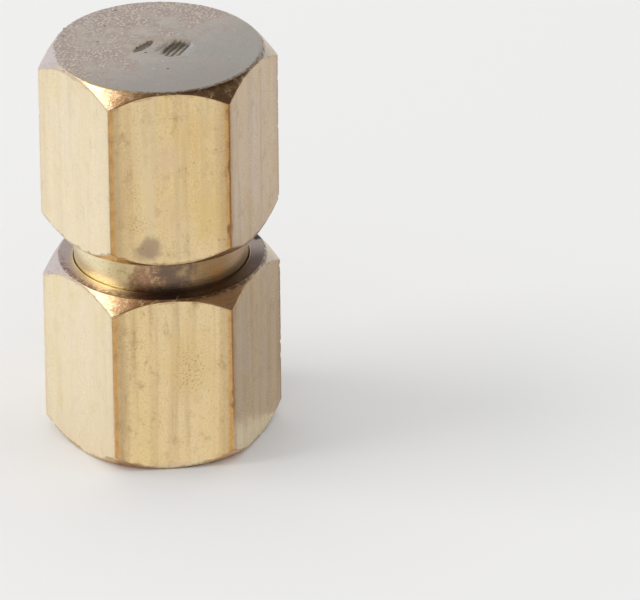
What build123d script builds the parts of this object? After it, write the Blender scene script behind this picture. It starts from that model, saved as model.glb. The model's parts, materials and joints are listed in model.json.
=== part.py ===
from build123d import *

import math
import os

# Compression stop end for 8 mm tube: a closed brass body, an olive and a compression nut.
# The fitting stands on its nut with its axis on +Z. The origin is the middle of the nut's end face, where the
# tube goes in. The body unscrews upwards on a right-hand M12x1 thread, and at rest it is finger tight, with a
# pair of flats of both hexagons square to Y. All sizes are in millimetres.

# Tube and hexagon bar
TUBE_OD = 8.0
BORE_R = TUBE_OD / 2 + 0.1  # through the nut and the olive, and in the body's socket
ACROSS_FLATS = 14.0
HEX_LENGTH = 12.9  # each of the two hexagons
HEX_GAP = 2.5  # between them, finger tight
FACE_R = 6.96  # flat disc left inside the turned-off corners
CORNER_ANGLE = 45  # of the turned-off corners

# M12x1 thread
PITCH = 1.0
PITCH_R = 5.675
FLANK_ANGLE = 30  # from the plane square to the axis
FLANK_PLAY = 0.03  # taken off each flank of both threads
MALE_CREST_R = 5.93
MALE_ROOT_R = 5.387
FEMALE_CREST_R = 5.5
FEMALE_ROOT_R = 6.05  # also the relief's and the counterbore's
ROOT_OVERLAP = 0.06  # how far a ridge starts inside the surface that carries it
TRIM_MARGIN = 0.2  # what cuts a ridge to length stands this far clear of its root and crest
LEAD_R = 5.45  # the male thread's crest where its tapered start begins

# Nut, from its end face up
NUT_FLOOR = 2.0  # the end that the tube passes through
SHOULDER_R = 5.35  # the bore round the olive
SHOULDER_TOP = 3.9
RELIEF_TOP = 4.8  # the female thread starts here
COUNTERBORE_DEPTH = 1.9
TUBE_MOUTH_CHAMFER = 0.3
COUNTERBORE_CHAMFER = 0.08

# Olive: a straight land between two equal tapers
OLIVE_END_R = 4.4
OLIVE_LAND_R = 5.2
OLIVE_LAND = 1.9
TAPER_ANGLE = 30  # of the olive and of the body's seat, from the axis
SHOULDER_GAP = 0.05  # along the axis, between the olive and the nut's 45 degree shoulder
SEAT_GAP = 0.08  # along the axis, between the olive and the body's seat

# Body
NECK_R = 5.85
NECK_IN_NUT = 0.55  # how far the neck reaches into the nut's counterbore
GROOVE_R = 5.2
GROOVE_WIDTH = 1.05  # thread run-out between the thread and the neck
SEAT_MOUTH_R = 4.95
SOCKET_DEPTH = 8.0
DRILL_POINT_ANGLE = 118
CHISEL_R = 0.2  # flat left by the drill's chisel edge

# Parting mark: a shallow dish in the closed end, with a torn-off nub in its middle
MARK_R = 1.8
MARK_DEPTH = 0.24
NUB_R = 0.6
NUB_TIP_R = 0.25
NUB_DROP = 0.05  # how far the nub's tip stays below the face

# Heights that follow from the sizes above
flank_slope = math.tan(math.radians(FLANK_ANGLE))
taper_slope = math.tan(math.radians(TAPER_ANGLE))
nut_top = HEX_LENGTH
body_low = nut_top + HEX_GAP
body_top = body_low + HEX_LENGTH
counterbore_low = nut_top - COUNTERBORE_DEPTH
olive_low = NUT_FLOOR + (OLIVE_END_R - BORE_R) + SHOULDER_GAP
olive_taper = (OLIVE_LAND_R - OLIVE_END_R) / taper_slope
olive_top = olive_low + OLIVE_LAND + 2 * olive_taper
seat_top = olive_top + (OLIVE_END_R - BORE_R) / taper_slope + SEAT_GAP
stem_low = seat_top - (SEAT_MOUTH_R - BORE_R) / taper_slope
socket_top = seat_top + SOCKET_DEPTH
drill_tip = socket_top + (BORE_R - CHISEL_R) / math.tan(math.radians(DRILL_POINT_ANGLE / 2))
neck_low = nut_top - NECK_IN_NUT
groove_low = neck_low - GROOVE_WIDTH
helix_low = math.floor(RELIEF_TOP)
helix_height = PITCH * math.ceil((groove_low - helix_low) / PITCH)


def hexagon_bar(low):
    """A length of hexagon bar from height low up, with the corners turned off at both ends."""
    high = low + HEX_LENGTH
    outer_r = ACROSS_FLATS / math.sqrt(3) + 0.5
    drop = (outer_r - FACE_R) * math.tan(math.radians(CORNER_ANGLE))
    with BuildPart() as bar:
        with BuildSketch(Plane.XY.offset(low)):
            RegularPolygon(ACROSS_FLATS / 2, 6, major_radius=False)
        extrude(amount=HEX_LENGTH)
        with BuildSketch(Plane.XZ):
            with BuildLine():
                Polyline(
                    (0, low),
                    (FACE_R, low),
                    (outer_r, low + drop),
                    (outer_r, high - drop),
                    (FACE_R, high),
                    (0, high),
                    close=True,
                )
            make_face()
        revolve(axis=Axis.Z, mode=Mode.INTERSECT)
    return bar.part


def thread_ridge(root_r, crest_r, low):
    """A right-hand helical ridge that narrows from root to crest. Its middle starts on +X at height low."""
    outward = math.copysign(1, crest_r - root_r)
    base_r = root_r - outward * ROOT_OVERLAP
    base_half = PITCH / 4 - FLANK_PLAY + outward * (PITCH_R - base_r) * flank_slope
    crest_half = PITCH / 4 - FLANK_PLAY + outward * (PITCH_R - crest_r) * flank_slope
    path = Edge.make_helix(PITCH, helix_height, PITCH_R, (0, 0, low))
    with BuildPart() as ridge:
        with BuildSketch(Plane(path @ 0, x_dir=(1, 0, 0), z_dir=path % 0)):
            with BuildLine():
                Polyline(
                    (base_r - PITCH_R, -base_half),
                    (crest_r - PITCH_R, -crest_half),
                    (crest_r - PITCH_R, crest_half),
                    (base_r - PITCH_R, base_half),
                    close=True,
                )
            make_face()
        sweep(path=path, is_frenet=True)
    return ridge.part


# Male thread, cut to length with a tapered start
with BuildPart() as male_thread:
    add(thread_ridge(MALE_ROOT_R, MALE_CREST_R, helix_low))
    with BuildSketch(Plane.XZ):
        with BuildLine():
            Polyline(
                (MALE_ROOT_R - TRIM_MARGIN, stem_low),
                (LEAD_R, stem_low),
                (MALE_CREST_R + TRIM_MARGIN, stem_low + MALE_CREST_R + TRIM_MARGIN - LEAD_R),
                (MALE_CREST_R + TRIM_MARGIN, groove_low),
                (MALE_ROOT_R - TRIM_MARGIN, groove_low),
                close=True,
            )
        make_face()
    revolve(axis=Axis.Z, mode=Mode.INTERSECT)

# Female thread, half a pitch away from the male one, cut to length
with BuildPart() as female_thread:
    add(thread_ridge(FEMALE_ROOT_R, FEMALE_CREST_R, helix_low - PITCH / 2))
    with BuildSketch(Plane.XZ):
        with BuildLine():
            Polyline(
                (FEMALE_CREST_R - TRIM_MARGIN, RELIEF_TOP),
                (FEMALE_ROOT_R + TRIM_MARGIN, RELIEF_TOP),
                (FEMALE_ROOT_R + TRIM_MARGIN, counterbore_low),
                (FEMALE_CREST_R - TRIM_MARGIN, counterbore_low),
                close=True,
            )
        make_face()
    revolve(axis=Axis.Z, mode=Mode.INTERSECT)

with BuildPart() as stop_end_body:
    add(hexagon_bar(body_low))
    # Parting mark
    with BuildSketch(Plane.XZ):
        with BuildLine():
            dish = ThreePointArc(
                (NUB_R, body_top - MARK_DEPTH),
                ((NUB_R + MARK_R) / 2, body_top - MARK_DEPTH),
                (MARK_R, body_top),
            )
            Polyline(
                dish @ 1,
                (MARK_R, body_top + 1),
                (0, body_top + 1),
                (0, body_top - NUB_DROP),
                (NUB_TIP_R, body_top - NUB_DROP),
                dish @ 0,
            )
        make_face()
    revolve(axis=Axis.Z, mode=Mode.SUBTRACT)
    # Neck, run-out groove and stem
    with BuildSketch(Plane.XZ):
        with BuildLine():
            Polyline(
                (0, stem_low),
                (MALE_ROOT_R, stem_low),
                (MALE_ROOT_R, groove_low),
                (GROOVE_R, groove_low),
                (GROOVE_R, neck_low),
                (NECK_R, neck_low),
                (NECK_R, body_low),
                (0, body_low),
                close=True,
            )
        make_face()
    revolve(axis=Axis.Z)
    add(male_thread.part)
    # Seat for the olive, and the blind socket with its drill point
    with BuildSketch(Plane.XZ):
        with BuildLine():
            Polyline(
                (0, stem_low),
                (SEAT_MOUTH_R, stem_low),
                (BORE_R, seat_top),
                (BORE_R, socket_top),
                (CHISEL_R, drill_tip),
                (0, drill_tip),
                close=True,
            )
        make_face()
    revolve(axis=Axis.Z, mode=Mode.SUBTRACT)

with BuildPart() as olive:
    with BuildSketch(Plane.XZ):
        with BuildLine():
            Polyline(
                (BORE_R, olive_low),
                (OLIVE_END_R, olive_low),
                (OLIVE_LAND_R, olive_low + olive_taper),
                (OLIVE_LAND_R, olive_top - olive_taper),
                (OLIVE_END_R, olive_top),
                (BORE_R, olive_top),
                close=True,
            )
        make_face()
    revolve(axis=Axis.Z)

with BuildPart() as compression_nut:
    add(hexagon_bar(0))
    # Tube hole, shoulder for the olive, and the bore that carries the thread
    with BuildSketch(Plane.XZ):
        with BuildLine():
            Polyline(
                (0, 0),
                (BORE_R + TUBE_MOUTH_CHAMFER, 0),
                (BORE_R, TUBE_MOUTH_CHAMFER),
                (BORE_R, NUT_FLOOR),
                (SHOULDER_R, NUT_FLOOR + SHOULDER_R - BORE_R),
                (SHOULDER_R, SHOULDER_TOP),
                (FEMALE_ROOT_R, SHOULDER_TOP),
                (FEMALE_ROOT_R, nut_top - COUNTERBORE_CHAMFER),
                (FEMALE_ROOT_R + COUNTERBORE_CHAMFER, nut_top),
                (0, nut_top),
                close=True,
            )
        make_face()
    revolve(axis=Axis.Z, mode=Mode.SUBTRACT)
    add(female_thread.part)

stop_end_body.part.label = "stop_end_body"
olive.part.label = "olive"
compression_nut.part.label = "compression_nut"

os.makedirs("parts", exist_ok=True)
export_step(stop_end_body.part, "parts/stop_end_body.step")
export_step(olive.part, "parts/olive.step")
export_step(compression_nut.part, "parts/compression_nut.step")
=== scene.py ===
import json
import math

import bmesh
import bpy
import numpy as np
from mathutils import Matrix, Vector, noise


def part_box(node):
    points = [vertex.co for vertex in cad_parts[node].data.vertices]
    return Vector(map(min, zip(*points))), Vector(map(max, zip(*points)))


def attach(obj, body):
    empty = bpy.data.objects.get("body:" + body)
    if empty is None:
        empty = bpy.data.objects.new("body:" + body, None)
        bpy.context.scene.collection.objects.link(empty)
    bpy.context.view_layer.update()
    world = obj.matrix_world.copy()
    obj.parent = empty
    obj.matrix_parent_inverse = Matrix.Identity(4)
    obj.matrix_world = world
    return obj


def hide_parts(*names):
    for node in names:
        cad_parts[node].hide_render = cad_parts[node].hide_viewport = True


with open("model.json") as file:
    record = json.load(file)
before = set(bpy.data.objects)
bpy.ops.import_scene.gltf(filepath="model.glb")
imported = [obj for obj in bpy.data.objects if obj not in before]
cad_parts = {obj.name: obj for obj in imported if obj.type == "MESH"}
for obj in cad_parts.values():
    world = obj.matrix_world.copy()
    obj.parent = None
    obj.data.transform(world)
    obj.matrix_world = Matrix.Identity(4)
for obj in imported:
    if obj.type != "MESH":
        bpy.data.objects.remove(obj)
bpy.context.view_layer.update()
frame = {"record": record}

# ---------------------------------------------------------------- sizes, in millimetres
MM = 0.001
nut_high = np.array(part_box("compression_nut")[1]) / MM
body_low, body_high = (np.array(corner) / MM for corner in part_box("stop_end_body"))
olive_low, olive_high = (np.array(corner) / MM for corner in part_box("olive"))
mounts = {mount["name"]: mount for mount in frame["record"]["mounts"]}
socket_middle = mounts["tube_socket"]["pos_m"][2] / MM
socket_depth = mounts["tube_socket"]["dims"]["length_mm"]

HALF_FLATS = nut_high[1]
HEX_LENGTH = nut_high[2]
BODY_TOP = body_high[2]
HEX_LOW = BODY_TOP - HEX_LENGTH  # of the body's hexagon
STEM_LOW = body_low[2]
BORE_R = mounts["tube_socket"]["dims"]["r_mm"]
SEAT_TOP = socket_middle - socket_depth / 2
SOCKET_TOP = socket_middle + socket_depth / 2
OLIVE_LAND_R = olive_high[0]

FACE_R = 6.96  # flat disc inside the corners, which are turned off at 45 degrees
CORNER_ROUND = 0.2  # of the drawn bar's six edges
RIM_ROUND = 0.12
CREASE_ROUND = 0.09
WORN_DROP = 0.15  # how far the rim is worn down where it meets the middle of a flat
NECK_R = 5.9  # 0.05 more than the CAD's, which thins the dark ring round the neck
NECK_LOW = 12.35
GROOVE_LOW = 11.3  # thread run-out
GROOVE_R = 5.2
SEAT_MOUTH_R = 4.95
LEAD_R = 5.45  # the male thread's crest where its tapered start begins
CHISEL_R = 0.2
DRILL_SLOPE = math.tan(math.radians(118 / 2))
PITCH = 1.0
PITCH_R = 5.675
FLANK_SLOPE = math.tan(math.radians(30))
FLANK_PLAY = 0.03
MALE_CREST_R = 5.93
MALE_ROOT_R = 5.387
MALE_START = 4.0  # height of a ridge's middle on +X, here and for the nut
FEMALE_CREST_R = 5.5
FEMALE_ROOT_R = 6.05
FEMALE_START = 3.5
FEMALE_LOW = 4.8
FEMALE_HIGH = 11.0
RELIEF_LOW = 3.9
SHOULDER_R = 5.35
NUT_FLOOR = 2.0
TUBE_CHAMFER = 0.3
MOUTH_CHAMFER = 0.06
LIP_R = 5.95  # burr rolled in at the nut's mouth, which still lets the thread out
LIP_HEIGHT = 0.12
OLIVE_END_R = 4.4
OLIVE_LAND = 1.9
ROWS_PER_PITCH = 20
INNER_COLUMNS = 120

# Zones of a skin, which are also its material slots
DRAWN, TURNED, FACED, THREAD = range(4)


# ---------------------------------------------------------------- helpers
def smooth_step(value, low, high):
    share = np.clip((value - low) / (high - low), 0, 1)
    return share * share * (3 - 2 * share)


def noise_at(points, stretch, seed=0.0):
    """Smooth noise between about -1 and 1 at points, which stretch turns into noise cells."""
    scaled = np.asarray(points) * np.asarray(stretch) + seed
    return np.array([noise.noise(Vector(point)) for point in scaled])


def add_object(name, data):
    thing = bpy.data.objects.new(name, data)
    bpy.context.scene.collection.objects.link(thing)
    return thing


# ---------------------------------------------------------------- skins made of rings of points
FLAT_WEAR = (0.3, 0.4, 0.25, 0.15, 1.0, 0.4)  # of the edges of each flat, anticlockwise from +X


def hexagon_columns(flat_steps=52, corner_steps=6):
    """Angles and radii of points round the bar, their distance from its nearest edge, and their wear."""
    centre = (HALF_FLATS - CORNER_ROUND) / math.cos(math.radians(30))
    half = centre * math.sin(math.radians(30))
    support = 0.04  # keeps the shading of a flat flat up to its edge
    across = np.linspace(-half, half, flat_steps + 1)[1:-1]
    across = np.concatenate(([support - half], across, [half - support]))
    angles, radii, edge_gaps, wear = [], [], [], []
    for sector in range(6):
        turn = math.radians(60 * sector)
        for lean in np.radians(np.linspace(-30, 30, corner_steps + 1)):
            x = centre + CORNER_ROUND * math.cos(lean)
            y = CORNER_ROUND * math.sin(lean)
            angles.append(turn + math.atan2(y, x))
            radii.append(math.hypot(x, y))
            edge_gaps.append(-CORNER_ROUND / 2 * math.cos(3 * lean))
            share = smooth_step(lean, -math.pi / 6, math.pi / 6)
            wear.append(FLAT_WEAR[sector - 1] * (1 - share) + FLAT_WEAR[sector] * share)
        for offset in across:
            angles.append(turn + math.radians(30) + math.atan2(offset, HALF_FLATS))
            radii.append(math.hypot(offset, HALF_FLATS))
            edge_gaps.append(half - abs(offset))
            wear.append(FLAT_WEAR[sector])
    return np.array(angles), np.array(radii), np.array(edge_gaps), np.array(wear)


def cone_drop(radii):
    """Height of the turned-off corner at a radius of the bar's outline."""
    return np.hypot(radii - FACE_R, WORN_DROP)


MOST_ROUNDED = 0.45  # share of a run that the rounding at one of its ends may take


def meridian(corners, runs, bend_steps=4):
    """Rows of radii and of heights along an outline, and their zones. A corner is (radius, height, rounding),
    and its radius and height may have one value per column. A run is (steps, zone), from corner to corner."""
    width = max(np.size(value) for corner in corners for value in corner[:2])
    spots = [np.array([np.broadcast_to(value, width) for value in corner[:2]], float) for corner in corners]
    lengths = [np.linalg.norm(b - a, axis=0) for a, b in zip(spots, spots[1:])]
    ways = [(b - a) / length for a, b, length in zip(spots, spots[1:], lengths)]
    rows, zones = [], []
    for i, (steps, zone) in enumerate(runs):
        start = spots[i] + ways[i] * np.minimum(corners[i][2], MOST_ROUNDED * lengths[i])
        end = spots[i + 1] - ways[i] * np.minimum(corners[i + 1][2], MOST_ROUNDED * lengths[i])
        support = 0.12 / steps
        shares = np.concatenate(([0, support], np.linspace(0, 1, steps + 1)[1:-1], [1 - support, 1]))
        if i and corners[i][2] == 0:
            shares = shares[1:]
        for share in shares:
            rows.append(start + (end - start) * share)
            zones.append(zone)
        if i + 1 < len(runs) and corners[i + 1][2] > 0:
            reach = np.minimum(corners[i + 1][2], MOST_ROUNDED * lengths[i + 1])
            after = spots[i + 1] + ways[i + 1] * reach
            for share in np.linspace(0, 1, bend_steps + 1)[1:-1]:
                bent = end * (1 - share) ** 2 + spots[i + 1] * 2 * share * (1 - share) + after * share**2
                rows.append(bent)
                zones.append(zone)
    rows = np.stack(rows)
    return rows[:, 0], rows[:, 1], zones


def thread_radius(angles, heights, root, crest, start):
    """Radius of a helical ridge at angles and heights. Its middle is on +X at height start."""
    outward = math.copysign(1, crest - root)
    crest_half = PITCH / 4 - FLANK_PLAY + outward * (PITCH_R - crest) * FLANK_SLOPE
    root_half = PITCH / 4 - FLANK_PLAY + outward * (PITCH_R - root) * FLANK_SLOPE
    turns = (heights - start) / PITCH - angles / (2 * math.pi)
    away = np.abs((turns + 0.5) % 1 - 0.5) * PITCH
    return root + (crest - root) * np.clip((root_half - away) / (root_half - crest_half), 0, 1)


class Skin:
    """A closed surface made of rings of points."""

    def __init__(self):
        self.points, self.gaps, self.wear, self.point_zones = [], [], [], []
        self.faces, self.zones = [], []
        self.count = 0

    def ring(self, angles, radii, heights, zone, edge_gaps=1.0, wear=0.0):
        width = len(angles)
        heights = np.broadcast_to(heights, width)
        self.points.append(np.stack([radii * np.cos(angles), radii * np.sin(angles), heights], axis=1))
        self.gaps.append(np.broadcast_to(edge_gaps, width))
        self.wear.append(np.broadcast_to(wear, width))
        self.point_zones.append(np.full(width, zone))
        self.count += width
        return np.arange(self.count - width, self.count)

    def join(self, one, other, zone):
        self.faces.extend(np.stack([one, other, np.roll(other, -1), np.roll(one, -1)], axis=1).tolist())
        self.zones.extend([zone] * len(one))

    def grid(self, angles, radii, heights, zones, edge_gaps=1.0, wear=0.0):
        """Adds each row as a ring and joins them. Returns the first ring and the last."""
        rings = []
        for r, z, zone in zip(radii, heights, zones):
            rings.append(self.ring(angles, np.broadcast_to(r, len(angles)), z, zone, edge_gaps, wear))
        for one, other, zone in zip(rings, rings[1:], zones[1:]):
            self.join(one, other, zone)
        return rings[0], rings[-1]

    def zip_rings(self, one, one_angles, other, other_angles, zone):
        """Joins two rings of any counts with triangles, in the order of their angles."""
        i = j = 0
        while i < len(one) or j < len(other):
            next_one = one_angles[(i + 1) % len(one)] + (2 * math.pi if i + 1 >= len(one) else 0)
            next_other = other_angles[(j + 1) % len(other)] + (2 * math.pi if j + 1 >= len(other) else 0)
            a, b = one[i % len(one)], other[j % len(other)]
            if j == len(other) or (i < len(one) and next_one <= next_other):
                self.faces.append([int(a), int(b), int(one[(i + 1) % len(one)])])
                i += 1
            else:
                self.faces.append([int(a), int(b), int(other[(j + 1) % len(other)])])
                j += 1
            self.zones.append(zone)

    def close(self, ring, height, zone):
        (tip,) = self.ring(np.zeros(1), np.zeros(1), height, zone)
        for a, b in zip(ring, np.roll(ring, -1)):
            self.faces.append([int(a), int(b), int(tip)])
            self.zones.append(zone)

    def gathered(self):
        return [np.concatenate(part) for part in (self.points, self.gaps, self.wear, self.point_zones)]

    def build(self, name, points, values, materials):
        """Makes the object. values are named numbers, one for each point, that the materials read."""
        mesh = bpy.data.meshes.new(name)
        mesh.from_pydata((points * MM).tolist(), [], self.faces)
        mesh.polygons.foreach_set("material_index", self.zones)
        for value_name, numbers in values.items():
            attribute = mesh.attributes.new(value_name, "FLOAT", "POINT")
            attribute.data.foreach_set("value", np.asarray(numbers, np.float32))
        work = bmesh.new()
        work.from_mesh(mesh)
        bmesh.ops.recalc_face_normals(work, faces=work.faces)
        work.to_mesh(mesh)
        work.free()
        mesh.shade_smooth()
        for material in materials:
            mesh.materials.append(material)
        return add_object(name, mesh)


# ---------------------------------------------------------------- relief of drawn, turned and torn metal
def drawn_relief(points, seed):
    """How far the drawn flats stand out: long shallow ridges along the bar."""
    broad = noise_at(points, (0.45, 0.45, 0.03), seed)
    narrow = noise_at(points, (1.7, 1.7, 0.07), seed + 5)
    return 0.016 * broad + 0.004 * narrow


def edge_dents(points, edge_gaps, seed):
    """Small knocks along the six edges of the bar."""
    where = noise_at(points, (0.6, 0.6, 1.9), seed)
    fine = noise_at(points, (1.5, 1.5, 6.0), seed + 3)
    near = 1 - smooth_step(edge_gaps, -0.05, 0.16)
    return -near * (0.075 * smooth_step(where, 0.22, 0.75) + 0.02 * smooth_step(fine, 0.1, 0.6))


RING_CLIMB = 1.7  # how much faster turning rings follow height than radius


def turned_relief(points, seed):
    """Rings that the lathe tool left, in and out along the surface."""
    radius = np.hypot(points[:, 0], points[:, 1])
    along = radius + RING_CLIMB * points[:, 2]
    place = np.stack([along, points[:, 0], points[:, 1]], axis=1)
    return 0.005 * noise_at(place, (5.0, 0.06, 0.06), seed)


def rim_burr(points, seed):
    """Ragged lip round the edge of a faced end."""
    radius = np.hypot(points[:, 0], points[:, 1])
    near = np.clip(1 - np.abs(radius - FACE_R) / 0.09, 0, 1)
    ragged = noise_at(points, (3.4, 3.4, 1.0), seed)
    spikes = noise_at(points, (9.0, 9.0, 1.0), seed + 7)
    lip = 0.02 * smooth_step(ragged, 0.05, 0.7)
    return near * (lip + 0.09 * smooth_step(spikes, 0.3, 0.6) * smooth_step(ragged, 0, 0.3))


def strip(u, v, centre, angle, half_length, half_width, power):
    """1 inside a rounded strip, 0 outside, and the distance across it. A higher power squares its ends."""
    turn = math.radians(angle)
    along = (u - centre[0]) * math.cos(turn) + (v - centre[1]) * math.sin(turn)
    across = -(u - centre[0]) * math.sin(turn) + (v - centre[1]) * math.cos(turn)
    size = (np.abs(along / half_length) ** power + np.abs(across / half_width) ** power) ** (1 / power)
    return 1 - smooth_step(size, 0.62, 1.08), across


MARK_TURN = math.radians(5.5)  # of the torn mark, about the axis
MARK_REACH = 4
SAME_LEVEL = 0.001
# Its hollows and its lip: middle, direction in degrees, half length, half width and power
BOWL = ((0.25, -0.25), 15, 2.4, 1.7, 2)
LEFT_TEAR = ((-0.95, 0.2), 50, 1.25, 0.3, 2)
RIGHT_TEAR = ((1.2, -0.2), 62, 1.4, 0.85, 3)
TAIL = ((0.25, 0.1), 58, 1.0, 0.24, 2)
MARK_LIP = ((0.95, -1.6), 8, 1.35, 0.2, 2)
RIGHT_SCORE_PITCH = 0.34
LEFT_SCORE_PITCH = 0.2


def parting_mark(points):
    """Height of the torn mark where the part broke away from the bar, and its darkness: dirt and painted
    shade in its hollows.
    """
    cosine, sine = math.cos(MARK_TURN), math.sin(MARK_TURN)
    x, y = points[:, 0], points[:, 1]
    u = x * cosine - y * sine
    v = x * sine + y * cosine
    place = np.stack([u, v, 0 * u], axis=1)
    ragged = noise_at(place, (1.6, 1.6, 1.0), 4.2)
    fine = noise_at(place, (5.5, 3.0, 1.0), 9.1)
    u = u + 0.1 * ragged
    v = v + 0.16 * fine
    bowl, _ = strip(u, v, *BOWL)
    left, left_across = strip(u, v, *LEFT_TEAR)
    right, right_across = strip(u, v, *RIGHT_TEAR)
    tail, tail_across = strip(u, v, *TAIL)
    lip, _ = strip(u, v, *MARK_LIP)
    # the right hollow's lit end, where its painted shade is left off
    light_end = smooth_step(-0.75 * right_across - 0.6 * (v + 0.2), -0.5, 0.6)
    grooves = np.cos(2 * math.pi * right_across / RIGHT_SCORE_PITCH + 0.9 * ragged)
    scores = np.cos(2 * math.pi * left_across / LEFT_SCORE_PITCH + 1.2 * ragged)
    height = -0.06 * bowl - 0.11 * left - 0.11 * right - 0.05 * tail + 0.02 * lip
    height = height + right * 0.035 * grooves + 0.008 * bowl * fine + left * 0.012 * scores
    # darkness of the hollows: dirt and painted shade
    dark = left * (0.75 + 0.2 * scores) + right * (1.0 - light_end * (0.65 + 0.4 * grooves) - 0.12 * grooves)
    dark = dark + tail * (0.3 + 0.2 * np.cos(14 * tail_across)) + 0.05 * bowl
    inside = (points[:, 2] > BODY_TOP - SAME_LEVEL) & (np.hypot(x, y) < MARK_REACH)
    return inside * height, inside * np.clip(dark, 0, 1)


# ---------------------------------------------------------------- materials
def feed(tree, value, socket):
    """Links a socket, or sets a number, a vector or a colour."""
    if isinstance(value, bpy.types.NodeSocket):
        tree.links.new(value, socket)
    elif socket.type == "RGBA":
        socket.default_value = (*value, 1.0)
    else:
        socket.default_value = value


def vector_math(tree, operation, *values):
    node = tree.nodes.new("ShaderNodeVectorMath")
    node.operation = operation
    for value, socket in zip(values, node.inputs):
        feed(tree, value, socket)
    return node.outputs["Value" if operation in ("LENGTH", "DOT_PRODUCT") else "Vector"]


def mixed(tree, share, one, other):
    node = tree.nodes.new("ShaderNodeMix")
    node.data_type = "RGBA"
    colour_sockets = [socket for socket in node.inputs if socket.type == "RGBA"]
    for value, socket in zip((share, one, other), (node.inputs["Factor"], *colour_sockets)):
        feed(tree, value, socket)
    return next(socket for socket in node.outputs if socket.type == "RGBA")


def smooth_range(tree, value, low, high, bottom=0.0, top=1.0):
    """Smoothly from bottom to top as value goes from low to high."""
    node = tree.nodes.new("ShaderNodeMapRange")
    node.interpolation_type = "SMOOTHSTEP"
    for setting, socket in zip((value, low, high, bottom, top), node.inputs):
        feed(tree, setting, socket)
    return node.outputs["Result"]


class Shader:
    """A node material on object coordinates in millimetres."""

    def __init__(self, name):
        self.material = bpy.data.materials.new(name)
        self.material.use_nodes = True
        self.tree = self.material.node_tree
        self.surface = self.tree.nodes["Principled BSDF"]
        self.surface.inputs["Metallic"].default_value = 1.0
        coordinates = self.tree.nodes.new("ShaderNodeTexCoord").outputs["Object"]
        self.place = vector_math(self.tree, "MULTIPLY", coordinates, [1 / MM] * 3)
        split = self.tree.nodes.new("ShaderNodeSeparateXYZ")
        self.put(self.place, split.inputs[0])
        self.x, self.y, self.z = split.outputs

    def put(self, value, socket):
        feed(self.tree, value, socket)

    def math(self, operation, *values, clamp=False):
        node = self.tree.nodes.new("ShaderNodeMath")
        node.operation = operation
        node.use_clamp = clamp
        for value, socket in zip(values, node.inputs):
            self.put(value, socket)
        return node.outputs[0]

    def times(self, first, *others):
        for other in others:
            first = self.math("MULTIPLY", first, other)
        return first

    def plus(self, first, *others):
        for other in others:
            first = self.math("ADD", first, other)
        return first

    def weighted(self, *terms):
        """Sum of values, each times its own weight."""
        return self.plus(*[self.times(value, weight) for value, weight in terms])

    def vector(self, x, y, z):
        node = self.tree.nodes.new("ShaderNodeCombineXYZ")
        for value, socket in zip((x, y, z), node.inputs):
            self.put(value, socket)
        return node.outputs[0]

    def stretched(self, x, y, z, shift=0.0):
        return vector_math(self.tree, "MULTIPLY_ADD", self.place, (x, y, z), [shift] * 3)

    def noise(self, vector, detail=3.0, roughness=0.55, scale=1.0):
        node = self.tree.nodes.new("ShaderNodeTexNoise")
        self.put(vector, node.inputs["Vector"])
        node.inputs["Scale"].default_value = scale
        node.inputs["Detail"].default_value = detail
        node.inputs["Roughness"].default_value = roughness
        return node.outputs["Fac"]

    def cells(self, vector, scale, output="Distance", dimensions="3D"):
        node = self.tree.nodes.new("ShaderNodeTexVoronoi")
        node.voronoi_dimensions = dimensions
        self.put(vector, node.inputs["Vector"])
        node.inputs["Scale"].default_value = scale
        return node.outputs[output]

    def ramp(self, *settings):
        return smooth_range(self.tree, *settings)

    def mix(self, share, one, other):
        return mixed(self.tree, share, one, other)

    def value(self, name):
        node = self.tree.nodes.new("ShaderNodeAttribute")
        node.attribute_name = name
        return node.outputs["Fac"]

    def radius(self):
        squares = self.plus(self.times(self.x, self.x), self.times(self.y, self.y))
        return self.math("SQRT", squares)

    def ring_place(self, pitch_scale, round_scale=0.12):
        """Noise place that changes fast along a turned surface and slowly round it."""
        along = self.times(self.plus(self.radius(), self.times(self.z, RING_CLIMB)), pitch_scale)
        return self.vector(along, self.times(self.x, round_scale), self.times(self.y, round_scale))

    def gap_from(self, place, reach, ways=(1, 1, 1)):
        """Distance from a place, 1 at the rim of a ball of that reach. ways squeeze it along X, Y and Z."""
        scale = [way / reach for way in ways]
        shift = [-factor * middle for factor, middle in zip(scale, place)]
        gap = vector_math(self.tree, "MULTIPLY_ADD", self.place, scale, shift)
        return vector_math(self.tree, "LENGTH", gap)

    def front_gap(self, x, z, half_width, half_height):
        """Distance from a place on the front flats, 1 at the rim of an oval of that size."""
        return self.gap_from((x, -HALF_FLATS, z), 1, (1 / half_width, 1.5, 1 / half_height))

    def finish(self, colour, roughness, height):
        """height is in millimetres."""
        bump = self.tree.nodes.new("ShaderNodeBump")
        bump.inputs["Distance"].default_value = MM
        self.put(height, bump.inputs["Height"])
        self.put(bump.outputs["Normal"], self.surface.inputs["Normal"])
        self.put(colour, self.surface.inputs["Base Color"])
        self.put(roughness, self.surface.inputs["Roughness"])
        return self.material


# Colours of the drawn flats
BRASS = (1.0, 0.85, 0.565)
PALE_BRASS = (1.0, 0.88, 0.65)
CLEAN_BRASS = (0.98, 0.85, 0.615)
GOLD_BRASS = (0.94, 0.76, 0.42)
PINK_BRASS = (0.92, 0.78, 0.60)
WORN_EDGE = (0.82, 0.50, 0.20)
BROWN_EDGE = (0.55, 0.33, 0.15)
TARNISH = (0.42, 0.29, 0.17)
GREY_STAIN = (0.44, 0.36, 0.30)
# painted black shadow in a notch on the nut's upper end face
NOTCH_SHADOW_BLACK = (0.055, 0.045, 0.03)
PIT_BROWN = (0.16, 0.10, 0.05)
# painted shade in the creases where the flats meet the cones
CREASE_SHADE_BROWN = (0.38, 0.24, 0.12)

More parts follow.
